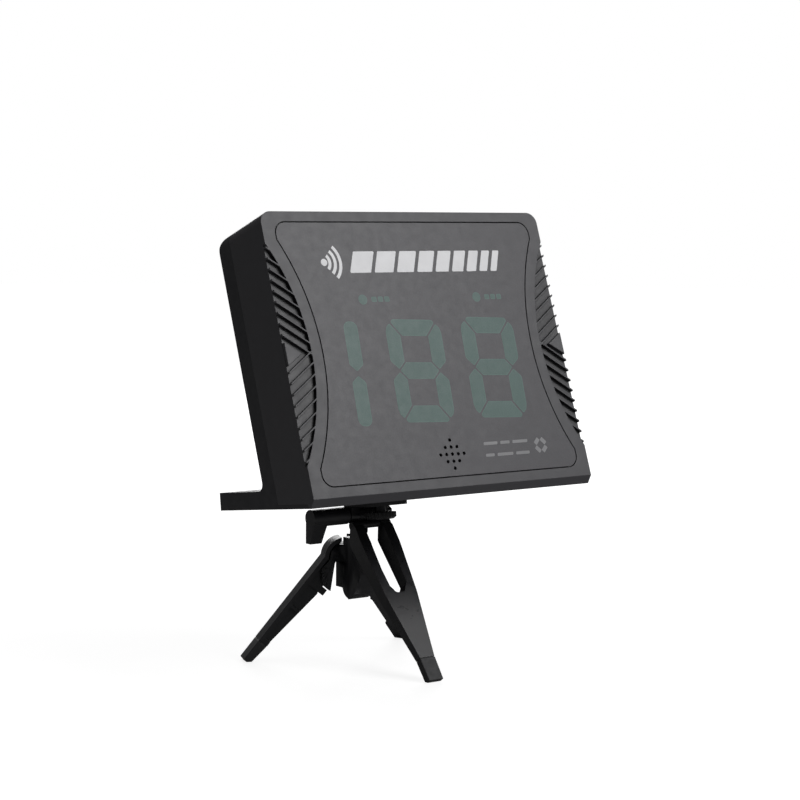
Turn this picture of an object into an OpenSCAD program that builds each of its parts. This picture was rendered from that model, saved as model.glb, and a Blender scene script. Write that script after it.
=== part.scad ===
// Free-standing sports speed radar: a display housing on a folding mini tripod.
// Row frame: +Z up, the display faces -Y, and the origin is on the ground under the middle.

/* [Housing] */
// Width of the housing
case_w = 186; // [176:1:196]
// Height of the front face, measured up the face
face_h = 155; // [150:1:160]
// Depth of the housing, square to the front face
case_d = 45.2; // [44:0.2:48]
// Depth of the front shell, from the face to the parting line
split_d = 33.5; // [32:0.5:35]
// How far the front face leans back from square to the base plate
face_lean = 12.4; // [10:0.2:14]
// Distance from the face's bottom edge to the rear end of the foot flange
flange_end = 92.7; // [90:0.1:96]
// Thickness of the foot flange
flange_t = 9.7; // [9:0.1:11]
// Wall thickness of both shells
wall = 2.2; // [2:0.1:2.6]
// Radius of the housing's upper corners
corner_r = 6.5; // [4:0.5:8]

/* [Display] */
// Height of a digit
digit_h = 57.4; // [54:0.2:58]
// Width of a digit
digit_w = 36.7; // [34:0.1:38]
// Width of one light segment
stroke = 9.3; // [8:0.1:10]
// Height of the middle of the digits above the face's bottom edge
digit_z = 65; // [64:0.5:66]
// Slant of the digits
digit_slant = 2.4; // [0:0.2:4]

/* [Grips] */
// Number of ribs in each half of a side grip
rib_count = 9; // [6:1:9]
// Distance between two ribs, up the face
rib_pitch = 5.95; // [5.5:0.05:6]
// Slope of the ribs
rib_slope = 34.5; // [30:0.5:38]

/* [Stand] */
// Angle by which the housing's base plate leans back on the tripod
head_tilt = 7.5; // [5:0.5:9]
// Height of the tilt hinge above the ground
hinge_h = 84.8; // [84.4:0.2:86]
// Distance of the tripod's axis from the housing's front bottom edge
hinge_back = 90; // [89:0.5:91]
// Thread diameter of the mounting screw, a quarter inch
screw_d = 6.35; // [6.35]

/* [Hidden] */
$fn = 64;
eps = 0.01;
// The tripod's axis along Y, so that the origin is under the middle of the whole object
stand_y = 21.5;
base_drop = 4.6; // base plate's underside below the face's bottom edge
chamfer_y = 3.1;
plate_t = 2.4; // base plate under the front shell
plate_front = 5.3;
plate_z = -base_drop + plate_t;
hinge_drop = 8.9; // hinge axis below the base plate's underside
face_t = 3.6; // front wall
floor_z = plate_z + wall;
flange_z = -base_drop + flange_t;
flange_fillet = 4;
rear_r = 9; // top rear edge
screw_y = hinge_back - 15; // mounting screw, in the middle of the flange
// Window
window_t = 1.4;
window_bed = 1.8;
window_w = 171;
window_low = 5.4;
window_high = 149.4;
window_r = 7;
waist_r = 135; // the window's waisted sides
waist_in = 22.5;
waist_z = 77.4;
groove = 0.6; // dark gap round the window
// Grips
grip_r = 120.5;
grip_in = 16;
grip_depth = 2;
rib_t = 0.8;
// Speaker
sound_z = 18;
hole_pitch = 3.9;
hole_r = 0.95;
// Digits
digit_x = [-50.8, -10.2, 40.3];
segment_gap = 0.8;
light_z = 105.5;
light_x = 38.3;
light_r = 2.8;
segment_y = face_t + 0.3;
segment_t = 7.6;
frame_x = [-58, 63];
frame_z = [33, 111];
board_y = segment_y + segment_t + 0.4;
board_t = 1.6;
board_x = 74;
board_z = [34, 112];
// Screw bosses
boss_x = 84;
boss_z = [24, 144];
board_boss_x = 70;
board_boss_z = [40, 107];
// Buttons on the back
button_x = [-24, 0, 24];
button_z = 132;
button_r = 5;
button_flange_r = 6.2;
keys_y = 36.4; // front of the button board
// Battery box
cell_r = 7.15;
cell_len = 50.3;
cell_z = [33, 49.5];
box_x = 52.6; // inside of the battery box
box_z = [25, 58];
door_x = 55;
door_z = [22, 60.5];
door_t = 1.3;
door_gap = 0.3;
latch_x = 7;
latch_top = 65;
cell_y = case_d - wall - 1.2 - cell_r;
// Head
pad_t = 1.1;
pad_gap = 0.1;
deck_t = 3.4;
deck_x = 14;
deck_front = 66;
deck_top = -base_drop - pad_gap - pad_t;
knuckle_r = 4.6;
bolt_r = 2;
run = 0.05; // running clearance of a shaft in its hole
wheel_r = 9;
wheel_t = 4;
wheel_gap = 3.6;
hub_half = 6.2; // half the thickness of the hub's front plate
hub_rear_half = 5.2;
hub_step = 8; // where the hub's plate becomes thinner
hub_low = [8, 42]; // centre of the hub's round lower end
hub_low_r = 7.2;
// Clamp lever
lever_end = -37.5;
lever_in = -27.2;
lever_h = 14.5;
barrel_r = 4.95;
// Front leg
front_lean = 37.9; // open front leg, from vertical
pin_r = 1.4;
front_pin_r = 1.2;
front_pivot = [-4.8, 79.2]; // Y and Z, from the tripod's axis
front_len = 100.4;
front_y = -3; // front face of the leg
front_back = 7.6; // rear edges of its flanges at the pivot
front_web = 2.2;
cap_len = 14;
fork_half = 6.5;
window_end = -40;
// Rear legs, in the plane of a leg: distance from where the planes meet, and height
rear_origin = 15.5; // where the planes meet, behind the tripod's axis
rear_turn = 22; // angle of each plane from X
leg_lean = 39.1; // open rear legs, from vertical
rear_knee = [15.9, 59]; // upper end of the straight outer face
rear_bend = [3.5, 58]; // centre of the round shoulder
bend_r = 12.3;
shoulder_end = 5.8;
rear_pivot = [14.1, 51];
rear_len = 74.1;
rail_t = 2.4;
rail_half = 6;
web_half = 2.3;
web_wide = 3.6;
wide_from = 18.5;
cheek_gap = 2.7;
cheek_t = 3;
cheek_at = [8.9, 47]; // centre of a cheek's round lower end
cheek_r = 8.5;

// ---- Places ----

// A point of the side view: v up the face, w into the housing
function side(v, w) = [
    w * cos(face_lean) + v * sin(face_lean),
    -w * sin(face_lean) + v * cos(face_lean)
];
// How far up the face a height above the base lies, at depth w
function up_face(z, w) = (z + w * sin(face_lean)) / cos(face_lean);

module tripod_place() translate([0, stand_y, 0]) children();
// The base plate's frame: Y runs back from the face's bottom edge, Z is square to the plate
module base_place() {
    tripod_place() translate([0, 0, hinge_h]) rotate([-head_tilt, 0, 0])
        translate([0, -hinge_back, base_drop + hinge_drop]) children();
}
// The face's frame: Y runs into the housing, Z up the face
module face_place() base_place() rotate([-face_lean, 0, 0]) children();
module rear_leg_place() tripod_place() translate([0, rear_origin, 0])
    rotate([0, 0, 180 - rear_turn]) children();

// A flat shape in X and Z, from depth y, t thick
module plate(y, t) translate([0, y + t, 0]) rotate([90, 0, 0]) linear_extrude(t) children();
// A flat shape in Y and Z, from x0 to x1
module across(x0, x1) translate([x0, 0, 0]) rotate([90, 0, 90]) linear_extrude(x1 - x0) children();
// A rod along Y
module rod(x, z, y0, y1, r) translate([x, y1, z]) rotate([90, 0, 0]) cylinder(r = r, h = y1 - y0);
// A rod along X
module bar(y, z, x0, x1, r) translate([x0, y, z]) rotate([0, 90, 0]) cylinder(r = r, h = x1 - x0);

module round_rect(x0, z0, x1, z1, r) {
    translate([x0 + r, z0]) square([x1 - x0 - 2 * r, z1 - z0]);
    translate([x0, z0 + r]) square([x1 - x0, z1 - z0 - 2 * r]);
    for (x = [x0 + r, x1 - r], z = [z0 + r, z1 - r]) translate([x, z]) circle(r);
}

// ---- Housing ----

module face_outline(inset) {
    half = case_w / 2 - inset;
    r = corner_r - inset;
    round_rect(-half, -20, half, face_h - inset, r);
}

module window_outline(inset) {
    half = window_w / 2 - inset;
    difference() {
        round_rect(-half, window_low + inset, half, window_high - inset, window_r - inset);
        for (s = [-1, 1]) translate([s * (case_w / 2 - waist_in + waist_r), waist_z])
            circle(waist_r + inset, $fn = 200);
    }
}

module grip_outline(s) {
    intersection() {
        translate([s * (case_w / 2 - grip_in + grip_r), waist_z]) circle(grip_r, $fn = 200);
        translate([s > 0 ? case_w / 2 - grip_in - 1 : -case_w / 2, 0]) square([grip_in + 1, face_h]);
    }
}

// The slanting ribs of one grip, upper and lower halves meeting at mid-height
module grip_ribs(s) {
    first = (grip_in - 1) * tan(rib_slope);
    intersection() {
        grip_outline(s);
        for (half = [-1, 1], k = [0 : rib_count - 1])
            translate([s * case_w / 2, waist_z + half * (first + k * rib_pitch)])
                rotate(s * half * rib_slope) translate([-14 - 14 * s + 5 * s, -rib_t / 2])
                    square([28, rib_t]);
    }
}

module speaker_holes() {
    for (i = [-2 : 2], j = [-2 : 2])
        if (abs(i) + abs(j) <= 2) translate([i * hole_pitch, sound_z + j * hole_pitch]) circle(hole_r);
}

module front_profile() {
    polygon([
        [0, 0], side(face_h, 0), side(face_h, split_d),
        side(up_face(plate_z, split_d), split_d), [plate_front, plate_z],
        [plate_front, -base_drop], [chamfer_y, -base_drop]
    ]);
}

module front_cavity_profile() {
    polygon([
        side(up_face(floor_z, face_t), face_t), side(face_h - wall, face_t),
        side(face_h - wall, split_d + 1), side(up_face(floor_z, split_d + 1), split_d + 1)
    ]);
}

module front_shell() color("#4b4b50") {
    difference() {
        intersection() {
            base_place() across(-case_w / 2, case_w / 2) front_profile();
            face_place() plate(-1, split_d + 12) face_outline(0);
        }
        intersection() {
            base_place() across(-case_w / 2, case_w / 2) front_cavity_profile();
            face_place() plate(face_t, split_d + 12) face_outline(wall);
        }
        face_place() {
            plate(-1, 1 + window_bed) window_outline(0);
            plate(0, face_t + 1) round_rect(-60, 31, 65, 113, 3);
            rod(0, sound_z, 0, face_t + 1, 11);
            for (s = [-1, 1]) plate(-1, 1 + grip_depth) grip_outline(s);
        }
    }
    face_place() {
        for (s = [-1, 1]) plate(0, grip_depth) grip_ribs(s);
        for (x = [-boss_x, boss_x], z = boss_z) screw_boss(x, z, face_t, split_d, 3.6, 1.5);
        for (x = [-board_boss_x, board_boss_x], z = board_boss_z)
            screw_boss(x, z, face_t, board_y, 3, 1.1);
        for (x = [-20, 20]) screw_boss(x, 132, face_t, 5.6, 2.4, 0.9);
    }
}

module screw_boss(x, z, y0, y1, r, bore) {
    difference() {
        rod(x, z, y0 - eps, y1, r);
        rod(x, z, y0 + 1, y1 + 1, bore);
    }
}

module display_window() color("#5d6067") face_place() {
    plate(0, window_t) difference() {
        window_outline(groove);
        speaker_holes();
    }
}

module window_tape() color("#1c1c1e") face_place() {
    plate(window_t, window_bed - window_t) difference() {
        translate([-68, 7.4]) square([136, 140]);
        translate([-59, 32]) square([123, 80]);
        translate([0, sound_z]) circle(11);
    }
}

// Points on an arc, from one angle to another
function arc(centre, r, from, to, steps) =
    [for (i = [0 : steps]) let (a = from + (to - from) * i / steps) centre + r * [cos(a), sin(a)]];

module rear_profile() {
    fillet_at = side(up_face(flange_z + flange_fillet, case_d + flange_fillet), case_d + flange_fillet);
    polygon(concat(
        [side(face_h, split_d)],
        arc(side(face_h - rear_r, case_d - rear_r), rear_r, 90 - face_lean, -face_lean, 8),
        arc(fillet_at, flange_fillet, 180 - face_lean, 270, 6),
        [
            [flange_end, flange_z], [flange_end, -base_drop], [plate_front, -base_drop],
            [plate_front, plate_z], side(up_face(plate_z, split_d), split_d)
        ]
    ));
}

module rear_cavity_profile() {
    in_d = case_d - wall;
    r = rear_r - wall;
    polygon(concat(
        [side(face_h - wall, split_d - 1)],
        arc(side(face_h - wall - r, in_d - r), r, 90 - face_lean, -face_lean, 8),
        [side(up_face(floor_z, in_d), in_d), side(up_face(floor_z, split_d - 1), split_d - 1)]
    ));
}

module rear_cover() color("#232327") difference() {
    union() {
        difference() {
            intersection() {
                base_place() across(-case_w / 2, case_w / 2) rear_profile();
                face_place() plate(-6, 130) face_outline(0);
            }
            intersection() {
                base_place() across(-case_w / 2, case_w / 2) rear_cavity_profile();
                face_place() plate(split_d - 2, case_d) face_outline(wall);
            }
        }
        face_place() {
            for (x = [-boss_x, boss_x], z = boss_z) rod(x, z, split_d, case_d - 1, 4.4);
            for (x = [-34, 52], z = [126, 138]) rod(x, z, 38, case_d - 1, 2.2);
        }
    }
    face_place() {
        for (x = [-boss_x, boss_x], z = boss_z) {
            rod(x, z, split_d - 1, case_d + 1, 1.7);
            rod(x, z, split_d + 3, case_d + 10, 3.3);
        }
        plate(case_d - 1.4, 5) {
            round_rect(-door_x, door_z[0], door_x, door_z[1], 2);
            translate([-door_x, door_z[0]]) square([2 * door_x, 4]);
        }
        plate(case_d - wall - 1, 5) round_rect(-box_x, box_z[0], box_x, box_z[1], 1);
        for (x = button_x) rod(x, button_z, case_d - wall - 1, case_d + 1, button_r + 0.3);
        plate(case_d - 1.2, 3) round_rect(-latch_x, latch_top - 8, latch_x, latch_top, 1.5);
    }
    base_place() translate([0, screw_y, -base_drop - 1]) cylinder(r = 4.7, h = 9.4);
}

// Turns about its rounded lower edge; the tab at the top springs into the cover's notch
module battery_door() color("#26262a") face_place() {
    left = -door_x + door_gap;
    low = door_z[0] + door_gap;
    difference() {
        union() {
            plate(case_d - door_t, door_t) {
                round_rect(left, low + door_t / 2, -left, door_z[1] - door_gap, 1.8);
                translate([left, low + door_t / 2]) square([-2 * left, 4]);
            }
            bar(case_d - door_t / 2, low + door_t / 2, left, -left, door_t / 2);
            plate(case_d - 1.1, 1.1)
                round_rect(-latch_x + door_gap, latch_top - 7, latch_x - door_gap, latch_top - 0.4, 1.3);
        }
        for (k = [0 : 4]) plate(case_d - 0.5, 1) translate([-9, latch_top - 17 + k * 2.2]) square([18, 1.1]);
    }
}

module screw(x, z, head_y, tip_y, head_r, head_t, shank_r) {
    difference() {
        union() {
            rod(x, z, head_y, head_y + head_t, head_r);
            rod(x, z, tip_y, head_y + eps, shank_r);
        }
        for (turn = [0, 90]) translate([x, head_y + head_t, z]) rotate([0, turn, 0])
            cube([head_r * 1.3, head_t, head_r * 0.32], center = true);
    }
}

module shell_screws() color("#8d8f93") face_place() {
    for (x = [-boss_x, boss_x], z = boss_z) screw(x, z, split_d + 3, split_d - 10, 3, 2.2, 1.45);
}

module threaded_insert() color("#c2a25a") base_place() translate([0, screw_y, -base_drop]) {
    difference() {
        cylinder(r = 4.7, h = 8.2);
        translate([0, 0, -1]) cylinder(r = screw_d / 2 + run, h = 12);
    }
}

// ---- Display and electronics ----

// One segment: a bar with pointed ends, lying along X round the origin
module segment(len) {
    h = stroke / 2;
    t = len / 2;
    polygon([[-t, 0], [-t + h, h], [t - h, h], [t, 0], [t - h, -h], [-t + h, -h]]);
}

// The strokes of a digit are cut from its outline by narrow gaps on the diagonals
module digit_cells(parts) {
    w = digit_w / 2 - stroke / 2;
    h = digit_h / 2 - stroke / 2;
    half = h / 2;
    long = 2 * w - segment_gap;
    tall = h - segment_gap;
    if (parts == "eight") {
        for (z = [-h, 0, h]) translate([0, z]) segment(long);
    }
    xs = parts == "eight" ? [-w, w] : [0];
    for (x = xs, z = [-half, half]) translate([x, z]) rotate(90) segment(tall);
}

// End strokes reach the digit's square outline, as on a moulded display
module digit_caps(parts) {
    w = digit_w / 2;
    h = digit_h / 2;
    s = stroke / 2;
    g = segment_gap / 2;
    if (parts == "eight") {
        for (f = [-1, 1]) polygon([
            [-w + 4.2 + g, f * h], [w - 4.2 - g, f * h], [w - 2.4 - g, f * (h - 1.8)],
            [w - s - g, f * (h - s)], [-w + s + g, f * (h - s)], [-w + 2.4 + g, f * (h - 1.8)]
        ]);
        for (e = [-1, 1], f = [-1, 1]) polygon([
            [e * w, f * (s + 0.3)], [e * w, f * (h - 6)], [e * (w - 1.2), f * (h - 3.2 - g)],
            [e * (w - 2.1), f * (h - 2.2 - g)], [e * (w - s), f * (h - s - g)], [e * (w - s), f * (s - 0.8)]
        ]);
    } else {
        for (f = [-1, 1]) translate([0, f * (h - s)]) circle(s);
    }
}

module digit(index, parts) {
    face_place() plate(segment_y, segment_t) translate([digit_x[index], digit_z])
        slanted_digit(parts);
}

// The strokes of a digit, leaning a little to the right
module slanted_digit(parts) {
    rotate(-digit_slant) {
        digit_cells(parts);
        digit_caps(parts);
    }
}

module digit_left() color("#8fb5a6") digit(0, "one");
module digit_middle() color("#8fb5a6") digit(1, "eight");
module digit_right() color("#8fb5a6") digit(2, "eight");

module unit_light_shapes(grow) {
    for (s = [-1, 1]) translate([s * light_x, light_z]) {
        circle(light_r + grow);
        round_rect(5.6 - grow, -1.9 - grow, 18 + grow, 1.9 + grow, 1.2);
    }
}

module unit_lights() color("#8fb5a6") face_place() plate(segment_y, segment_t) unit_light_shapes(0);

module display_frame() color("#2a2a2d") face_place() {
    difference() {
        plate(segment_y, segment_t) round_rect(frame_x[0], frame_z[0], frame_x[1], frame_z[1], 2);
        plate(segment_y - 1, segment_t + 2) {
            for (i = [0 : 2]) translate([digit_x[i], digit_z]) slanted_digit(i == 0 ? "one" : "eight");
            unit_light_shapes(0);
        }
    }
}

module display_board() color("#1f5a34") face_place() {
    difference() {
        plate(board_y, board_t) round_rect(-board_x, board_z[0], board_x, board_z[1], 2);
        for (x = [-board_boss_x, board_boss_x], z = board_boss_z) rod(x, z, board_y - 1, board_y + 5, 1.6);
    }
    part_y = board_y + board_t;
    for (p = [[-40, 74, 12, 12, 1.4], [-10, 92, 18, 8, 2.2], [24, 60, 9, 9, 1.2], [48, 84, 14, 6, 3.4]])
        plate(part_y, p[4]) translate([p[0] - p[2] / 2, p[1] - p[3] / 2]) square([p[2], p[3]]);
    for (x = [-60, -52]) rod(x, 52, part_y, part_y + 9, 3.2);
}

module board_screws() color("#9b9da1") face_place() {
    for (x = [-board_boss_x, board_boss_x], z = board_boss_z)
        screw(x, z, board_y + board_t, board_y - 6, 2.6, 1.6, 1.05);
}

module antenna_board() color("#2c6b45") face_place() {
    plate(5.6, 1.2) difference() {
        round_rect(-24, 118, 24, 149, 1);
        for (x = [-20, 20]) translate([x, 132]) circle(1.2);
    }
    for (i = [-1, 1], j = [0, 1]) plate(5.2, 0.4) translate([i * 8 - 4.5, 122 + j * 13]) square([9, 9]);
}

module antenna_shield() color("#b9bbbf") face_place() {
    difference() {
        plate(6.8, 4.2) round_rect(-16, 121, 16, 146, 1);
        plate(6, 4.4) round_rect(-15.4, 121.6, 15.4, 145.4, 0.6);
    }
}

module ribbon_cable() color("#d8d4c4") face_place() {
    x = 44;
    low = board_y + board_t;
    plate(low, keys_y - low) translate([x, 108]) square([12, 0.5]);
    plate(keys_y - 0.5, 0.5) translate([x, 108]) square([12, 18]);
}

module button_board() color("#1f5a34") face_place() {
    plate(keys_y, 1.6) round_rect(-38, 122, 58, 142, 2);
}

module tact_switches() color("#c9cacd") face_place() {
    for (x = button_x) {
        plate(keys_y + 1.6, 1.8) round_rect(x - 3, button_z - 3, x + 3, button_z + 3, 0.4);
        rod(x, button_z, keys_y + 3.4, keys_y + 4.5, 1.7);
    }
}

module key(index) face_place() {
    x = button_x[index];
    rod(x, button_z, case_d - wall - 1.5, case_d - wall - 0.3, button_flange_r);
    rod(x, button_z, case_d - wall - 0.4, case_d + 1.2, button_r);
}

module power_button() color("#7d2321") key(0);
module unit_button() color("#3a3a3e") key(1);
module mode_button() color("#3a3a3e") key(2);

module speaker() color("#3b3b3f") face_place() {
    rod(0, sound_z, face_t + 1.2, face_t + 4.2, 13);
    rod(0, sound_z, face_t + 4.2, face_t + 8.2, 8);
}

module speaker_gasket() color("#202022") face_place() {
    difference() {
        rod(0, sound_z, face_t, face_t + 1.2, 13);
        rod(0, sound_z, face_t - 1, face_t + 2, 11);
    }
}

// ---- Power ----

module battery_tray() color("#2b2b2f") face_place() difference() {
    plate(cell_y - cell_r - 2, case_d - wall - (cell_y - cell_r - 2)) 
        round_rect(-box_x - 2, box_z[0] - 2, box_x + 2, box_z[1] + 2, 1);
    plate(cell_y - cell_r - 0.4, 30) round_rect(-box_x, box_z[0], box_x, box_z[1], 1);
}

module batteries() color("#3e6a3a") face_place() {
    for (s = [-1, 1], i = [0, 1]) {
        flip = i == 0 ? s : -s;
        translate([s * (cell_len / 2 + 0.5), cell_y, cell_z[i]]) {
            bar(0, 0, -cell_len / 2, cell_len / 2, cell_r);
            scale([flip, 1, 1]) bar(0, 0, cell_len / 2 - eps, cell_len / 2 + 0.45, 2.6);
        }
    }
}

module battery_contacts() color("#c4c6c9") face_place() {
    for (s = [-1, 1], z = cell_z) translate([s > 0 ? 51.9 : -52.5, cell_y - 5, z - 5.5]) cube([0.6, 10, 11]);
}

// ---- Tripod head ----

module head_platform() color("#1b1b1e") base_place() {
    z_axis = -base_drop - hinge_drop;
    difference() {
        union() {
            difference() {
                translate([0, 0, deck_top - deck_t]) linear_extrude(deck_t)
                    round_rect(-deck_x, deck_front, deck_x, 92.4, 3);
                translate([0, screw_y, -30]) cylinder(r = screw_d / 2 + 0.2, h = 40);
                bar(hinge_back, z_axis, -20, 20, barrel_r + 0.15);
            }
            for (s = [-1, 1]) {
                x0 = s > 0 ? hub_half + 0.3 : -12.4;
                bar(hinge_back, z_axis, x0, x0 + 12.1 - hub_half, knuckle_r);
                translate([x0, hinge_back - knuckle_r, z_axis]) cube([12.1 - hub_half, 7.2, deck_top - deck_t - z_axis + eps]);
            }
        }
        bar(hinge_back, z_axis, -30, 30, bolt_r + run);
    }
}

module platform_pad() color("#121214") base_place() translate([0, 0, deck_top]) {
    linear_extrude(pad_t) difference() {
        round_rect(-deck_x + 0.5, deck_front + 0.5, deck_x - 0.5, 88, 2.6);
        translate([0, screw_y]) circle(screw_d / 2 + 0.5);
    }
}

module mounting_screw() color("#9a9ca0") base_place() {
    low = deck_top - deck_t - wheel_gap - wheel_t;
    translate([0, screw_y, low + 0.6]) cylinder(r = screw_d / 2, h = 2 - low - 0.6);
    translate([0, screw_y, 2 - eps]) cylinder(r1 = screw_d / 2, r2 = screw_d / 2 - 0.8, h = 0.8);
}

module lock_wheel() color("#1a1a1d") base_place() {
    low = deck_top - deck_t - wheel_gap - wheel_t;
    translate([0, screw_y, low]) difference() {
        union() {
            translate([0, 0, 1.2]) cylinder(r = wheel_r, h = wheel_t - 1.2);
            cylinder(r1 = wheel_r - 1.6, r2 = wheel_r, h = 1.2 + eps);
        }
        translate([0, 0, 0.6]) cylinder(r = screw_d / 2, h = 10);
        for (k = [0 : 23]) rotate([0, 0, k * 15]) translate([wheel_r + 0.25, 0, -1]) cylinder(r = 0.7, h = 8, $fn = 20);
    }
}

module hinge_place() tripod_place() translate([0, 0, hinge_h]) children();

module tilt_bolt() color("#8b8d91") hinge_place() bar(0, 0, -30, 16.4, bolt_r);

// Barrel on the bolt's left end, with a paddle that hangs down from it
module tilt_lever() color("#1d1d20") hinge_place() difference() {
    union() {
        bar(0, 0, lever_end, -13.3, barrel_r);
        intersection() {
            across(lever_end, lever_in) polygon([[-4.3, 0], [4.3, 0], [4.3, -lever_h], [-0.5, -lever_h]]);
            plate(-8, 16) polygon([
                [lever_end, 0.5], [lever_in, 0.5], [lever_in - 2.8, -lever_h], [lever_end, -lever_h]
            ]);
        }
    }
    bar(0, 0, -30, 0, bolt_r);
}

module tilt_washers() color("#a9abaf") hinge_place() {
    for (x = [-13.2, 12.5]) difference() {
        bar(0, 0, x, x + 0.7, 4);
        bar(0, 0, x - 1, x + 2, bolt_r + run);
    }
}

module tilt_nut() color("#8b8d91") hinge_place() difference() {
    translate([13.3, 0, 0]) rotate([0, 90, 0]) cylinder(r = 4, h = 3, $fn = 6);
    bar(0, 0, 12, 20, bolt_r + run);
}

// ---- Tripod ----

// Side view of the hub's knuckle, with the ear that holds the front pin
module hub_ear_profile() {
    translate([0, hinge_h]) circle(knuckle_r - 0.2);
    translate(front_pivot) circle(1.9);
    polygon([
        front_pivot + [0, -1.9], [4, front_pivot.y - 1.9], [4, hinge_h], [-1.5, 82],
        front_pivot + [0, 1.8]
    ]);
}

module hub_neck_profile() {
    polygon([[5, 69], [3, 74], [3, hinge_h], [8.6, hinge_h - 1], [10, 60], [5, 60]]);
}

module hub_front_profile() {
    polygon([
        [-4.2, 54], [-4.2, 48.7], [1.77, 38.39], [hub_step, hub_low.y], [hub_step, 70], [5.3, 67],
        [3.4, 62.5], [-1.8, 56.5]
    ]);
    intersection() {
        translate(hub_low) circle(hub_low_r);
        translate([-10, 20]) square([10 + hub_step, 40]);
    }
}

module hub_rear_profile() {
    translate(hub_low) circle(hub_low_r);
    translate([6, hub_low.y]) square([8.5, 28]);
}

// Outline of a cheek that holds a rear leg's pin
module cheek_profile() {
    polygon([
        [3.3, 66], [8.6, 66], [11.9, 62], [12.7, 57.4], [15.4, 54.2], [17.2, 49], [16.9, 44.5],
        [12.3, 39.2], [9.7, 56], [3.3, 56]
    ]);
    intersection() {
        translate(cheek_at) circle(cheek_r);
        polygon([[8.4, 64], [30, 64], [30, 39], [12.3, 39]]);
    }
    translate(rear_pivot) circle(3.5);
}

module rear_clevis() rear_leg_place() for (n = [-cheek_gap, cheek_gap + cheek_t])
    translate([0, n, 0]) rotate([90, 0, 0]) linear_extrude(cheek_t) cheek_profile();

module rear_pin_hole(r) rear_leg_place() translate([rear_pivot.x, 10, rear_pivot.y])
    rotate([90, 0, 0]) cylinder(r = r, h = 20);

module tripod_hub() color("#1e1e21") difference() {
    union() {
        tripod_place() {
            across(-hub_half, hub_half) {
                hub_ear_profile();
                hub_front_profile();
            }
            across(-4, 4) hub_neck_profile();
            across(-hub_rear_half, hub_rear_half) hub_rear_profile();
            translate([-4, 14, 40]) cube([8, 9.5, 26]);
        }
        rear_clevis();
        mirror([1, 0, 0]) rear_clevis();
    }
    tripod_place() bar(0, hinge_h, -20, 20, bolt_r + run);
    tripod_place() bar(front_pivot.x, front_pivot.y, -20, 20, front_pin_r);
    rear_pin_hole(pin_r);
    mirror([1, 0, 0]) rear_pin_hole(pin_r);
}

module front_pin() color("#6d6f73") tripod_place() bar(front_pivot.x, front_pivot.y, -13, 13, front_pin_r);

module rear_pin() rear_leg_place() translate([rear_pivot.x, 5.9, rear_pivot.y])
    rotate([90, 0, 0]) cylinder(r = pin_r, h = 11.8);

module left_pin() color("#6d6f73") rear_pin();
module right_pin() color("#6d6f73") mirror([1, 0, 0]) rear_pin();

// The front leg's frame: the pivot is the origin, and the leg hangs down -Z
module front_leg_place() tripod_place() translate([0, front_pivot.x, front_pivot.y])
    rotate([-front_lean, 0, 0]) children();

module front_leg_outline() {
    polygon([
        [-12.8, 0], [12.8, 0], [13.1, -14], [10.9, -46], [4.9, -front_len + cap_len],
        [-4.9, -front_len + cap_len], [-10.9, -46], [-13.1, -14]
    ]);
}

// Side view: flat in front, with flanges that grow shallower towards the foot
module front_leg_side() {
    polygon([
        [-1.8, 0], [1.8, 0], [front_back, -7], [4.2, -46], [1.6, -front_len + cap_len],
        [front_y, -front_len + cap_len], [front_y, -2.5]
    ]);
}

module front_leg_window() {
    translate([-fork_half, window_end]) square([2 * fork_half, 60]);
    polygon([
        [-fork_half, window_end + 0.1], [fork_half, window_end + 0.1], [4, window_end - 3.3],
        [-4, window_end - 3.3]
    ]);
    for (x = [-1.5, 1.5]) translate([x, window_end - 3]) circle(2.5);
    translate([-1.5, window_end - 5.5]) square([3, 3]);
}

module front_tang() plate(-2, 2.8) translate([-3.4, -front_len + cap_len - 8]) square([6.8, 9]);

module front_leg() color("#1c1c1f") front_leg_place() difference() {
    union() {
        intersection() {
            plate(-10, 20) front_leg_outline();
            across(-20, 20) front_leg_side();
        }
        for (x = [-12.9, fork_half]) bar(0, 0, x, x + 6.4, 2.4);
        front_tang();
    }
    plate(-10, 20) front_leg_window();
    plate(front_y + front_web, 20) {
        polygon([
            [-9.4, -51.5], [9.4, -51.5], [4, -front_len + cap_len + 3], [-4, -front_len + cap_len + 3]
        ]);
        for (s = [-1, 1]) polygon([
            [s * 8.2, -8], [s * 11, -8], [s * 9.4, -47], [s * 8.2, -47]
        ]);
    }
    bar(0, 0, -20, 20, front_pin_r + run);
}

module ground_cut() translate([-200, -200, -50]) cube([400, 400, 50]);

module front_foot() color("#101012") difference() {
    front_leg_place() difference() {
        plate(front_y - 0.1, 4.8) polygon([
            [-5.1, -front_len + cap_len], [5.1, -front_len + cap_len], [4.8, -front_len], [-4.8, -front_len]
        ]);
        front_tang();
    }
    ground_cut();
}

// The leg's frame: X along its straight outer face, Y outwards
module along_leg() translate(rear_knee) rotate(leg_lean - 90) children();

module rail_profile() {
    intersection() {
        difference() {
            translate(rear_bend) circle(bend_r);
            translate(rear_bend) circle(bend_r - rail_t);
        }
        translate([shoulder_end, rear_knee.y - 1.6]) square(2 * bend_r);
    }
    along_leg() translate([-0.5, -rail_t]) square([rear_len - cap_len + 0.5, rail_t]);
}

module web_profile() {
    intersection() {
        translate(rear_bend) circle(bend_r - 1);
        polygon([[6, 61], [6, 72], [18, 72], [18, 54], [11, 50.5]]);
    }
    translate(rear_pivot) circle(4.2);
    along_leg() {
        polygon([[-1, -1], [40, -1], [40, -8.3], [19.5, -10.7], [13, -10.9], [4, -10], [0, -5]]);
        translate([14, -14.3]) square([4, 5]);
    }
}

// The wider lower part of the web
module wide_web_profile() along_leg() polygon([
    [wide_from, -1], [rear_len - cap_len, -1], [rear_len - cap_len, -6], [19.5, -10.7], [wide_from, -10.6]
]);

module flat_leg_part(half) translate([0, half, 0]) rotate([90, 0, 0]) linear_extrude(2 * half) children();

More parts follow.
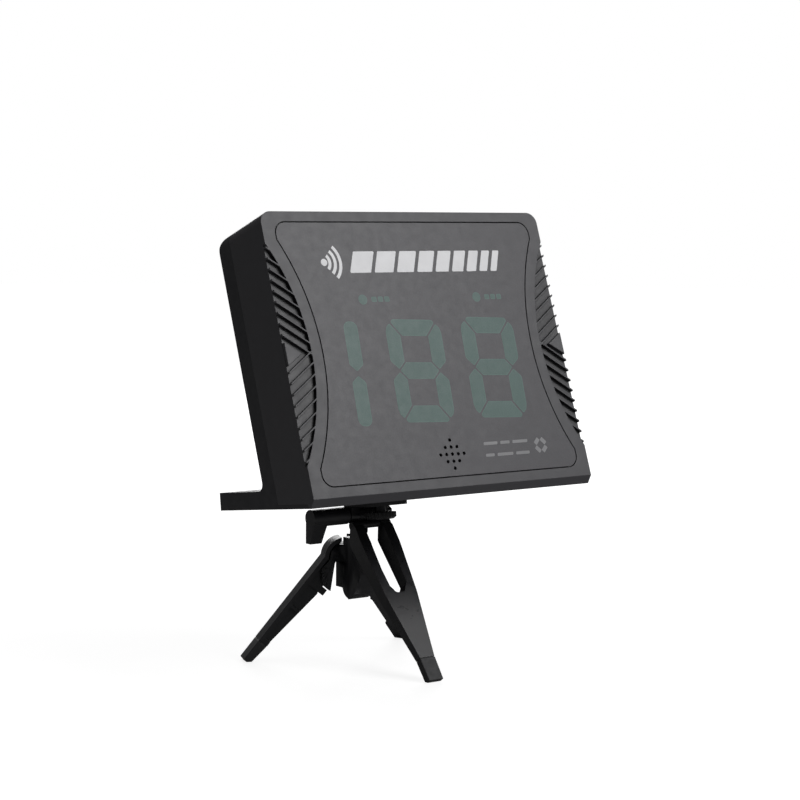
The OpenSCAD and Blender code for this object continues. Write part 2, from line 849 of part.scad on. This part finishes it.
module rear_tang() flat_leg_part(3.2) along_leg()
    translate([rear_len - cap_len - 0.5, -4.9]) square([8.5, 3.6]);

module rear_leg() difference() {
    rear_leg_place() {
        flat_leg_part(rail_half) rail_profile();
        flat_leg_part(web_half) web_profile();
        flat_leg_part(web_wide) wide_web_profile();
        flat_leg_part(rail_half - 0.4) along_leg() translate([33, -8]) square([1.4, 7]);
        flat_leg_part(rail_half - 0.4) along_leg() translate([rear_len - cap_len - 3, -6]) square([3, 5]);
        rear_tang();
    }
    rear_pin_hole(pin_r + run);
}

module rear_foot() difference() {
    rear_leg_place() difference() {
        flat_leg_part(rail_half - 0.1) along_leg() polygon([
            [rear_len - cap_len, 0.1], [rear_len, 0.1], [rear_len, -4.4], [rear_len - cap_len, -6]
        ]);
        rear_tang();
    }
    ground_cut();
}

module left_leg() color("#1c1c1f") rear_leg();
module right_leg() color("#1c1c1f") mirror([1, 0, 0]) rear_leg();
module left_foot() color("#101012") rear_foot();
module right_foot() color("#101012") mirror([1, 0, 0]) rear_foot();

front_shell();
display_window();
window_tape();
rear_cover();
battery_door();
shell_screws();
threaded_insert();
digit_left();
digit_middle();
digit_right();
unit_lights();
display_frame();
display_board();
board_screws();
antenna_board();
antenna_shield();
ribbon_cable();
button_board();
tact_switches();
power_button();
unit_button();
mode_button();
speaker();
speaker_gasket();
battery_tray();
batteries();
battery_contacts();
head_platform();
platform_pad();
mounting_screw();
lock_wheel();
tilt_bolt();
tilt_lever();
tilt_washers();
tilt_nut();
tripod_hub();
front_pin();
left_pin();
right_pin();
front_leg();
left_leg();
right_leg();
front_foot();
left_foot();
right_foot();
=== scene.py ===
import math

import bmesh
import bpy
from mathutils import Matrix, Quaternion, Vector


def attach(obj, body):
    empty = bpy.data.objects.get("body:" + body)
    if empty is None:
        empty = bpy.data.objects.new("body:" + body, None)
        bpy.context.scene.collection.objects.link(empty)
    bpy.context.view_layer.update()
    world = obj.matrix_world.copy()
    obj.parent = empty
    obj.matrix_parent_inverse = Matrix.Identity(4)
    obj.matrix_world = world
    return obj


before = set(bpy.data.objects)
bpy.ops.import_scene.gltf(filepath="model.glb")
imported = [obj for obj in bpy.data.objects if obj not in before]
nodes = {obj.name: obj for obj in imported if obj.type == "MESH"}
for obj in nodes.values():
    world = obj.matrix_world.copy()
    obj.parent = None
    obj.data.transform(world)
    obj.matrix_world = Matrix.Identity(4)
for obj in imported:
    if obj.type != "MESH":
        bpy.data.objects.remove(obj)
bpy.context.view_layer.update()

MM = 0.001
scene = bpy.context.scene

# ---- The face's place: X across, Y into the housing, Z up the face ----

HINGE = (0, 0.0215, 0.0848)  # the tripod head's hinge
FACE_FOOT = (0, -0.090, 0.0135)  # the face's bottom edge from the hinge, before the head's tilt
TILT, LEAN = math.radians(-7.5), math.radians(-12.4)  # the head's tilt and the face's own lean
FACE = (Matrix.Translation(HINGE) @ Matrix.Rotation(TILT, 4, "X")
        @ Matrix.Translation(FACE_FOOT) @ Matrix.Rotation(LEAN, 4, "X"))


def on_face(x, y, z):
    return FACE @ Vector((x * MM, y * MM, z * MM))


# ---- Materials ----


def new_material(name):
    m = bpy.data.materials.new(name)
    m.use_nodes = True
    m.node_tree.nodes.clear()
    return m, m.node_tree.nodes, m.node_tree.links


GRAIN_DEPTH = 0.00012  # metres, at full bump strength
RECESS_SHADE_REACH = 0.005  # metres, how far the painted shade reaches from a recess's walls over its floor


def multiplied(n, l, a, b):
    """The product of two colour outputs."""
    both = n.new("ShaderNodeMix")
    both.data_type = "RGBA"
    both.blend_type = "MULTIPLY"
    both.inputs[0].default_value = 1.0
    l.new(a, both.inputs[6])
    l.new(b, both.inputs[7])
    return both.outputs[2]


def ramp(n, l, value, low, high, dark, light):
    """A colour ramp from dark at low to light at high."""
    r = n.new("ShaderNodeValToRGB")
    for stop, position, color in zip(r.color_ramp.elements, (low, high), (dark, light)):
        stop.position = position
        stop.color = (*color, 1)
    l.new(value, r.inputs[0])
    return r.outputs[0]


def spread(n, l, value, low, high, to_low, to_high):
    """A value moved from the range low..high to the range to_low..to_high."""
    r = n.new("ShaderNodeMapRange")
    for key, number in (("From Min", low), ("From Max", high), ("To Min", to_low), ("To Max", to_high)):
        r.inputs[key].default_value = number
    l.new(value, r.inputs["Value"])
    return r.outputs[0]


def surface(name, color, rough, grain=2200, bump=0.12, tone=0.12, rough_span=0.08, metallic=0.0,
            mottle=30, fleck=0.0, fleck_scale=900, sheen=0.0, brushed=False, worn=0.0, recess_shade=0.0):
    """A moulded or metal surface: fine grain in the bump, slow changes of tone, and uneven gloss.
    worn rounds the edges by that many millimetres, and the recess shade strength paints shade into the
    colour of the recesses."""
    m, n, l = new_material(name)
    out = n.new("ShaderNodeOutputMaterial")
    p = n.new("ShaderNodeBsdfPrincipled")
    l.new(p.outputs[0], out.inputs[0])
    where = n.new("ShaderNodeTexCoord")
    place = n.new("ShaderNodeMapping")
    if brushed:
        place.inputs["Scale"].default_value = (0.08, 1.0, 1.0)
    l.new(where.outputs["Object"], place.inputs[0])

    def noise(scale, detail):
        t = n.new("ShaderNodeTexNoise")
        t.inputs["Scale"].default_value = scale
        t.inputs["Detail"].default_value = detail
        t.inputs["Roughness"].default_value = 0.55
        l.new(place.outputs[0], t.inputs["Vector"])
        return t.outputs["Fac"]

    dark, light = [c * (1 - tone) for c in color], [min(1, c * (1 + tone)) for c in color]
    colour = ramp(n, l, noise(mottle, 4.0), 0.3, 0.72, dark, light)
    if fleck:
        spots = ramp(n, l, noise(fleck_scale, 2.0), 0.35, 0.7, [1 - fleck] * 3, [1] * 3)
        colour = multiplied(n, l, colour, spots)
    # Painted shade: ambient occlusion darkens the base colour in recesses and creases.
    if recess_shade:
        depth = n.new("ShaderNodeAmbientOcclusion")
        depth.samples = 8
        depth.only_local = True
        depth.inputs["Distance"].default_value = RECESS_SHADE_REACH
        shade = spread(n, l, depth.outputs["AO"], 0.35, 0.95, 1 - recess_shade, 1.0)
        colour = multiplied(n, l, colour, shade)
    l.new(colour, p.inputs["Base Color"])
    gloss = spread(n, l, noise(mottle * 5, 4.0), 0.3, 0.7,
                   max(0.02, rough - rough_span), min(1.0, rough + rough_span))
    l.new(gloss, p.inputs["Roughness"])
    b = n.new("ShaderNodeBump")
    b.inputs["Strength"].default_value = bump
    b.inputs["Distance"].default_value = GRAIN_DEPTH
    l.new(noise(grain, 3.0), b.inputs["Height"])
    if worn:
        edge = n.new("ShaderNodeBevel")
        edge.samples = 6
        edge.inputs["Radius"].default_value = worn * MM
        l.new(edge.outputs[0], b.inputs["Normal"])
    l.new(b.outputs[0], p.inputs["Normal"])
    p.inputs["Metallic"].default_value = metallic
    if sheen:
        p.inputs["Sheen Weight"].default_value = sheen
        p.inputs["Sheen Roughness"].default_value = 0.6
    return m


M = {
    # The shell's recesses, such as the grip pockets, get painted shade in their colour.
    "shell": surface("abs_shell", (0.065, 0.064, 0.071), 0.46, grain=1500, bump=0.22, tone=0.03,
                     rough_span=0.04, worn=0.45, recess_shade=0.85),
    # The cover's colour is darker than the shell's: partly its own darker plastic, partly painted shade
    # standing for the shade on the housing's sides and back.
    "cover": surface("abs_cover_with_painted_shade", (0.032, 0.032, 0.037), 0.50, grain=1500, bump=0.22, tone=0.05,
                     worn=0.5),
    "door": surface("abs_door", (0.029, 0.029, 0.032), 0.48, grain=1700, bump=0.2, tone=0.08),
    "window": surface("smoked_window", (0.060, 0.058, 0.067), 0.42, grain=500, bump=0.03, tone=0.05,
                      mottle=45, fleck=0.16, fleck_scale=1300, rough_span=0.03, worn=0.15),
    "segment": surface("segment_light", (0.061, 0.128, 0.114), 0.42, grain=500, bump=0.03, tone=0.05,
                       mottle=60, fleck=0.12, fleck_scale=1500, rough_span=0.03),
    "rim": surface("segment_rim", (0.066, 0.142, 0.124), 0.42, grain=500, bump=0.03, tone=0.05,
                   rough_span=0.03),
    "print": surface("white_print", (0.86, 0.86, 0.88), 0.42, grain=1800, bump=0.05, tone=0.03),
    "grey_print": surface("grey_print", (0.23, 0.23, 0.24), 0.42, grain=1800, bump=0.05, tone=0.03),
    "dark": surface("dark_inside", (0.012, 0.012, 0.013), 0.7, grain=900, bump=0.1, tone=0.1),
    "board": surface("solder_mask", (0.02, 0.12, 0.05), 0.35, grain=700, bump=0.1, tone=0.2, mottle=300),
    "tin": surface("tinned_steel", (0.62, 0.62, 0.64), 0.28, metallic=1.0, grain=900, bump=0.06,
                   tone=0.08, brushed=True),
    "steel": surface("plated_steel", (0.42, 0.42, 0.44), 0.30, metallic=1.0, grain=1300, bump=0.08,
                     tone=0.12, mottle=120),
    "black_steel": surface("blackened_steel", (0.045, 0.045, 0.048), 0.38, metallic=0.9, grain=1300,
                           bump=0.08, tone=0.12, mottle=120),
    "brass": surface("turned_brass", (0.72, 0.50, 0.20), 0.28, metallic=1.0, grain=1300, bump=0.06,
                     tone=0.1),
    "cable": surface("flat_cable", (0.5, 0.49, 0.44), 0.5, grain=700, bump=0.05, tone=0.06),
    "red_key": surface("key_red_rubber", (0.26, 0.022, 0.018), 0.48, grain=1500, bump=0.12, tone=0.08),
    "dark_key": surface("key_dark_rubber", (0.05, 0.05, 0.053), 0.52, grain=1500, bump=0.12, tone=0.08),
    "cell": surface("cell_sleeve", (0.05, 0.16, 0.06), 0.3, grain=900, bump=0.03, tone=0.08),
    "tripod": surface("tripod_nylon", (0.019, 0.019, 0.0215), 0.31, grain=2600, bump=0.1, tone=0.08,
                      mottle=40, rough_span=0.05),
    "tripod_hub": surface("hub_nylon", (0.022, 0.022, 0.025), 0.42, grain=2600, bump=0.1, tone=0.08,
                          mottle=40),
    "wheel": surface("wheel_nylon", (0.022, 0.022, 0.024), 0.40, grain=2600, bump=0.1, tone=0.1),
    "rubber": surface("foot_rubber", (0.030, 0.030, 0.032), 0.62, grain=700, bump=0.3, tone=0.12,
                      mottle=90, sheen=0.06),
    "pad": surface("pad_rubber", (0.022, 0.022, 0.024), 0.7, grain=600, bump=0.35, tone=0.12),
}


def floor_material():
    """A pale sweep that brightens to white away from the object."""
    m, n, l = new_material("pale_floor")
    out, add = n.new("ShaderNodeOutputMaterial"), n.new("ShaderNodeAddShader")
    p, glow = n.new("ShaderNodeBsdfPrincipled"), n.new("ShaderNodeEmission")
    where, far = n.new("ShaderNodeTexCoord"), n.new("ShaderNodeVectorMath")
    far.operation = "LENGTH"
    l.new(where.outputs["Object"], far.inputs[0])
    shown, path = n.new("ShaderNodeMath"), n.new("ShaderNodeLightPath")
    shown.operation = "MULTIPLY"
    l.new(spread(n, l, far.outputs["Value"], 0.15, 0.8, 0.84, 1.0), shown.inputs[0])
    l.new(path.outputs["Is Camera Ray"], shown.inputs[1])
    l.new(shown.outputs[0], glow.inputs["Strength"])
    speckle = n.new("ShaderNodeTexNoise")
    speckle.inputs["Scale"].default_value = 40
    l.new(where.outputs["Object"], speckle.inputs["Vector"])
    l.new(spread(n, l, speckle.outputs["Fac"], 0, 1, 0.28, 0.32), p.inputs["Base Color"])
    p.inputs["Roughness"].default_value = 0.8
    p.inputs["Specular IOR Level"].default_value = 0.1
    l.new(p.outputs[0], add.inputs[0])
    l.new(glow.outputs[0], add.inputs[1])
    l.new(add.outputs[0], out.inputs[0])
    return m


M["floor"] = floor_material()

NODES_OF = {
    "shell": "front_shell",
    "cover": "rear_cover",
    "door": "battery_door",
    "window": "display_window",
    "dark": "window_tape display_frame speaker speaker_gasket battery_tray",
    "segment": "digit_left digit_middle digit_right unit_lights",
    "board": "display_board antenna_board button_board",
    "steel": "board_screws shell_screws tilt_bolt",
    "brass": "threaded_insert",
    "tin": "antenna_shield battery_contacts tact_switches",
    "cable": "ribbon_cable",
    "red_key": "power_button",
    "dark_key": "unit_button mode_button",
    "cell": "batteries",
    "tripod": "head_platform front_leg",
    "pad": "platform_pad",
    "black_steel": "mounting_screw tilt_washers tilt_nut front_pin left_pin right_pin",
    "wheel": "lock_wheel",
    "tripod_hub": "tilt_lever tripod_hub left_leg right_leg",
    "rubber": "front_foot left_foot right_foot",
}
NODE_MATERIAL = {node: material for material, row in NODES_OF.items() for node in row.split()}

# Edge rounding of the moulded parts, in millimetres
EDGE = {
    "battery_door": 0.25,
    "power_button": 0.5, "unit_button": 0.5, "mode_button": 0.5, "head_platform": 0.4,
    "platform_pad": 0.3, "lock_wheel": 0.22, "tilt_lever": 0.6, "tripod_hub": 0.45,
    "front_leg": 0.5, "left_leg": 0.45, "right_leg": 0.45, "front_foot": 0.7, "left_foot": 0.7,
    "right_foot": 0.7, "tilt_nut": 0.2, "tilt_bolt": 0.2, "front_pin": 0.25, "left_pin": 0.2,
    "right_pin": 0.2, "shell_screws": 0.12,
}


def soften(obj, width):
    """Rounded edges by modifiers, over the node's own mesh."""
    weld = obj.modifiers.new("weld", "WELD")
    weld.merge_threshold = 0.000004
    bevel = obj.modifiers.new("edges", "BEVEL")
    bevel.width = width * MM
    bevel.segments = 3
    bevel.limit_method = "ANGLE"
    bevel.angle_limit = math.radians(32)
    bevel.miter_outer = "MITER_ARC"
    bevel.use_clamp_overlap = True
    tidy = obj.modifiers.new("normals", "WEIGHTED_NORMAL")
    tidy.keep_sharp = True
    tidy.weight = 60


for name, node in nodes.items():
    node.data.materials.clear()
    node.data.materials.append(M[NODE_MATERIAL[name]])
    for poly in node.data.polygons:
        poly.use_smooth = True
    if name in EDGE:
        soften(node, EDGE[name])

# ---- Flat shapes laid on the face ----


def circle(cx, cz, r, count):
    turns = [2 * math.pi * k / count for k in range(count)]
    return [(cx + r * math.cos(a), cz + r * math.sin(a)) for a in turns]


def arc(cx, cz, r, degrees):
    turns = [math.radians(d) for d in degrees]
    return [(cx + r * math.cos(a), cz + r * math.sin(a)) for a in turns]


def bar(x0, z0, x1, z1, lean=0.0):
    """A bar's four corners, its top edge moved sideways by lean."""
    return [(x0, z0), (x1, z0), (x1 + lean, z1), (x0 + lean, z1)]


def add_piece(name, mesh, material, body):
    obj = bpy.data.objects.new(name, mesh)
    scene.collection.objects.link(obj)
    mesh.materials.append(M[material])
    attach(obj, body)
    return obj


def rounded(points, radii, steps=5):
    """A closed outline with an arc at each corner; radii is one radius, or one for each corner."""
    out = []
    count = len(points)
    for i, p in enumerate(points):
        r = radii if isinstance(radii, float) else radii[i]
        a, p, b = Vector(points[i - 1]), Vector(p), Vector(points[(i + 1) % count])
        da, db = (a - p).normalized(), (b - p).normalized()
        half = da.angle(db) / 2
        if half > math.radians(85) or r <= 0:
            out.append(p)
            continue
        reach = min(r / math.tan(half), (a - p).length * 0.45, (b - p).length * 0.45)
        r = reach * math.tan(half)
        c = p + (da + db).normalized() * (r / math.sin(half))
        s, e = p + da * reach - c, p + db * reach - c
        turn = s.angle_signed(e)
        for k in range(steps + 1):
            t = -turn * k / steps
            x = s.x * math.cos(t) - s.y * math.sin(t)
            z = s.x * math.sin(t) + s.y * math.cos(t)
            out.append(c + Vector((x, z)))
    return out


def inset(points, d):
    """The outline moved inwards by d, for outlines that run anticlockwise."""
    out = []
    count = len(points)
    for i in range(count):
        a, p, b = Vector(points[i - 1]), Vector(points[i]), Vector(points[(i + 1) % count])
        e1, e2 = p - a, b - p
        if e1.length < 1e-7 or e2.length < 1e-7:
            out.append(p)
            continue
        n1 = Vector((-e1.y, e1.x)).normalized()
        n2 = Vector((-e2.y, e2.x)).normalized()
        n = (n1 + n2).normalized()
        out.append(p + n * (d / max(0.3, n.dot(n1))))
    return out


def anticlockwise(points):
    pairs = [(points[i - 1], points[i]) for i in range(len(points))]
    twice_area = sum(a[0] * b[1] - b[0] * a[1] for a, b in pairs)
    return points if twice_area > 0 else list(reversed(points))


def slab(bm, points, front, back, edge, place):
    """A plate between depths front and back, its front edge rounded by edge."""
    outline = anticlockwise([Vector(p) for p in points])
    turns = [math.pi / 6 * k for k in range(4)] if edge else [math.pi / 2]
    rings = []
    for a in turns:
        d = edge * (1 - math.sin(a))
        depth = front + edge * (1 - math.cos(a))
        ring = inset(outline, d) if d > 1e-6 else outline
        rings.append([bm.verts.new(place(p[0], depth, p[1])) for p in ring])
    rings.append([bm.verts.new(place(p[0], back, p[1])) for p in outline])
    bm.faces.new(rings[0])
    for r0, r1 in zip(rings, rings[1:]):
        for i in range(len(r0)):
            j = (i + 1) % len(r0)
            bm.faces.new((r0[j], r0[i], r1[i], r1[j]))
    bm.faces.new(list(reversed(rings[-1])))


def slabs(name, outlines, front, back, edge, material, body, slot, place=on_face):
    """One piece made of a plate for each outline."""
    bm = bmesh.new()
    for points in outlines:
        slab(bm, points, front, back, edge, place)
    bmesh.ops.recalc_face_normals(bm, faces=bm.faces)
    mesh = bpy.data.meshes.new(name)
    bm.to_mesh(mesh)
    bm.free()
    for poly in mesh.polygons:
        poly.use_smooth = False
    return add_piece(name, mesh, material, body)


# ---- Display segments, seen through the smoked window ----

DIGIT_H, DIGIT_W, SLANT = 57.4, 36.7, math.radians(2.4)
DIGIT_Z = 65
DIGIT_X = {"left": -50.8, "middle": -10.2, "right": 40.3}
RIM_FRONT, CORE_FRONT = -0.02, -0.035  # depths, so the lighter rim shows around the core
RIM_BACK, CORE_BACK = 0.25, 0.2
RIM_WIDE, SMALL_RIM_WIDE = 0.45, 0.3


def mirror_x(points):
    return [(-x, z) for x, z in reversed(points)]


def mirror_z(points):
    return [(x, -z) for x, z in reversed(points)]


def eight_outlines():
    """The seven segments of a full digit as anticlockwise outlines about its middle."""
    w, h = DIGIT_W / 2, DIGIT_H / 2
    top = rounded([(w - 5.4, h), (-w + 5.4, h), (-w + 3.9, h - 1.6), (-w + 10.4, h - 9.3),
                   (w - 10.4, h - 9.3), (w - 3.9, h - 1.6)], [2.2, 2.2, 1.2, 0.8, 0.8, 1.2])
    middle = rounded([(w - 5.6, 0), (w - 10.0, 4.65), (-w + 10.0, 4.65), (-w + 5.6, 0),
                      (-w + 10.0, -4.65), (w - 10.0, -4.65)], 0.8)
    side = rounded([(w, 5.2), (w, h - 7.5), (w - 0.9, h - 4.4), (w - 3.1, h - 2.3), (w - 9.2, h - 9.4),
                    (w - 9.2, 5.0), (w - 5.0, 0.8)], [3.0, 3.0, 3.0, 0.8, 0.8, 0.8, 0.8])
    return [top, middle, mirror_z(top), side, mirror_x(side), mirror_z(side), mirror_z(mirror_x(side))]


def one_outlines():
    """The two segments of the narrow first digit."""
    h, m = DIGIT_H / 2, 4.4
    upper = rounded([(m, 4.8), (m, h), (-m, h), (-m, 4.8), (0, 1.2)], [2.0, 3.9, 3.9, 2.0, 1.0], 8)
    return [upper, mirror_z(upper)]


def leaned(points, x, z):
    c, s = math.cos(-SLANT), math.sin(-SLANT)
    return [(x + px * c - pz * s, z + px * s + pz * c) for px, pz in points]


def lights(rim_name, name, outlines, rim_wide):
    outer = [anticlockwise(p) for p in outlines]
    slabs(rim_name, outer, RIM_FRONT, RIM_BACK, 0.0, "rim", "radar", "segment_green")
    slabs(name, [inset(p, rim_wide) for p in outer], CORE_FRONT, CORE_BACK, 0.0, "segment", "radar",
          "segment_green")


for which, x in DIGIT_X.items():
    shapes = one_outlines() if which == "left" else eight_outlines()
    placed = [leaned(p, x, DIGIT_Z) for p in shapes]
    lights(f"segments_{which}_rim", f"segments_{which}", placed, RIM_WIDE)

UNIT_X, UNIT_Z = 38.3, 105.5
units = []
for sign in (-1, 1):
    units.append(circle(sign * UNIT_X, UNIT_Z, 2.8, 32))
    for k in range(3):
        x0 = sign * UNIT_X + 5.6 + k * 4.2
        units.append(rounded(bar(x0, UNIT_Z - 1.5, x0 + 3.4, UNIT_Z + 1.5), 0.8))
lights("unit_marks_rim", "unit_marks", units, SMALL_RIM_WIDE)

# ---- Generic white motif: three waves and a row of speed bars ----

MOTIF_Z = 126.5
WAVE_X, WAVE_HALF = -60, 0.95
motif = []
for r in (5.2, 8.6, 12.0):
    motif.append(arc(WAVE_X, MOTIF_Z, r + WAVE_HALF, range(-46, 47, 4))
                 + arc(WAVE_X, MOTIF_Z, r - WAVE_HALF, range(46, -47, -4)))
motif.append(circle(-58.4, MOTIF_Z, 2.0, 24))
bar_x = -43.0
for k in range(9):
    wide = 13.6 - k * 1.15
    motif.append(rounded(bar(bar_x, MOTIF_Z - 6, bar_x + wide, MOTIF_Z + 6, 4.4), 0.6, 3))
    bar_x += wide + 2.3
slabs("face_motif", motif, RIM_FRONT, CORE_BACK, 0.0, "print", "radar", "window_film")

# ---- Generic grey note at the lower right: two rows of dashes and a broken ring ----

DASH_X, DASH_H = 22.0, 1.7
RING_X, RING_Z = 61.5, 19.3
note = []
for z, lengths in ((21.5, (9.5, 6.5, 10.5)), (15.0, (6.0, 11.0, 9.5))):
    dash_x = DASH_X
    for long in lengths:
        note.append(rounded(bar(dash_x, z, dash_x + long, z + DASH_H, 0.5), 0.5, 3))
        dash_x += long + 2.0
for k in range(4):
    turn = math.radians(90 * k + 45)
    c, s = math.cos(turn), math.sin(turn)
    block = [(RING_X + c * x - s * z, RING_Z + s * x + c * z) for x, z in bar(2.0, -2.0, 4.4, 2.0)]
    note.append(rounded(block, 0.4, 3))
slabs("face_note", note, RIM_FRONT, CORE_BACK, 0.0, "grey_print", "radar", "window_film")

# ---- Raised triangle at the middle of each side grip ----

GRIP_TIP, GRIP_EDGE = (83.0, 77.1), 92.8
pads = []
for sign in (-1, 1):
    tip_x, tip_z = sign * GRIP_TIP[0], GRIP_TIP[1]
    pads.append([(sign * GRIP_EDGE, tip_z + 6.3), (tip_x, tip_z), (sign * GRIP_EDGE, tip_z - 6.3)])
slabs("grip_pads", pads, 0.0, 2.05, 0.25, "shell", "radar", "shell_plastic")

# ---- Speaker grille cloth behind the window's holes ----

slabs("speaker_cloth", [circle(0, 18, 10.6, 48)], 1.75, 2.1, 0.1, "dark", "radar", "speaker_black")

# ---- Raised marks on the three keys ----

KEY_Z = 132
MARK_DEPTH = (46.36, 46.52)  # from just inside the key's top to just above it


def key_shapes(index):
    """An on-off ring with its stroke, two lines, or a triangle."""
    if index == 0:
        ring = arc(0, 0, 2.1, range(125, 416, 6)) + arc(0, 0, 1.55, range(415, 124, -6))
        return [ring, bar(-0.28, 0.5, 0.28, 2.5)]
    if index == 1:
        return [rounded(bar(-2.0, z, 2.0, z + 0.7), 0.3, 3) for z in (-1.3, 0.6)]
    return [[(-1.5, -1.7), (1.9, 0.0), (-1.5, 1.7)]]


for index, (key, x) in enumerate((("power_button", -24), ("unit_button", 0), ("mode_button", 24))):
    slabs(f"{key}_mark", key_shapes(index), *MARK_DEPTH, 0.0, "print", key,
          "key_red" if index == 0 else "key_dark", lambda a, y, z: on_face(x - a, y, KEY_Z + z))

# ---- Floor, light and camera ----

bm = bmesh.new()
bmesh.ops.create_circle(bm, cap_ends=True, cap_tris=False, segments=96, radius=6)
mesh = bpy.data.meshes.new("floor")
bm.to_mesh(mesh)
bm.free()
floor = bpy.data.objects.new("floor", mesh)
scene.collection.objects.link(floor)
mesh.materials.append(M["floor"])


MIDDLE = Vector((0, 0, 0.13))


def area(name, at, size, power):
    """A soft light that faces the middle of the object."""
    data = bpy.data.lights.new(name, "AREA")
    data.shape = "RECTANGLE"
    data.size, data.size_y = size
    data.energy = power
    obj = bpy.data.objects.new(name, data)
    scene.collection.objects.link(obj)
    obj.location = at
    obj.rotation_mode = "QUATERNION"
    obj.rotation_quaternion = (MIDDLE - Vector(at)).to_track_quat("-Z", "Y")


area("key", (0.75, -1.35, 1.25), (1.1, 1.1), 20)
area("top", (0.15, 0.1, 1.7), (1.6, 1.6), 5)
area("back", (0.95, 1.4, 0.7), (1.0, 0.9), 11)

world = bpy.data.worlds.new("studio")
scene.world = world
world.use_nodes = True
wn, wl = world.node_tree.nodes, world.node_tree.links
wn.clear()
sky = wn.new("ShaderNodeOutputWorld")
shown, lit = wn.new("ShaderNodeBackground"), wn.new("ShaderNodeBackground")
shown.inputs[0].default_value = (1, 1, 1, 1)
shown.inputs[1].default_value = 1.0
lit.inputs[0].default_value = (1, 1, 1, 1)
lit.inputs[1].default_value = 0.11
path, pick = wn.new("ShaderNodeLightPath"), wn.new("ShaderNodeMixShader")
wl.new(path.outputs["Is Camera Ray"], pick.inputs[0])
wl.new(lit.outputs[0], pick.inputs[1])
wl.new(shown.outputs[0], pick.inputs[2])
wl.new(pick.outputs[0], sky.inputs[0])
scene.view_settings.view_transform = "Standard"

camera_data = bpy.data.cameras.new("camera")
camera_data.sensor_width = 36
camera_data.lens = 93.642
camera_data.clip_start = 0.05
camera_data.clip_end = 30
camera = bpy.data.objects.new("camera", camera_data)
scene.collection.objects.link(camera)
camera.location = (-0.67134, -0.93996, 0.25644)
heading, pitch, roll = math.radians(35.87), math.radians(-5.2), math.radians(0.4)
level = math.cos(pitch)
ahead = Vector((math.sin(heading) * level, math.cos(heading) * level, math.sin(pitch)))
camera.rotation_mode = "QUATERNION"
camera.rotation_quaternion = ahead.to_track_quat("-Z", "Y") @ Quaternion((0, 0, 1), roll)
scene.camera = camera
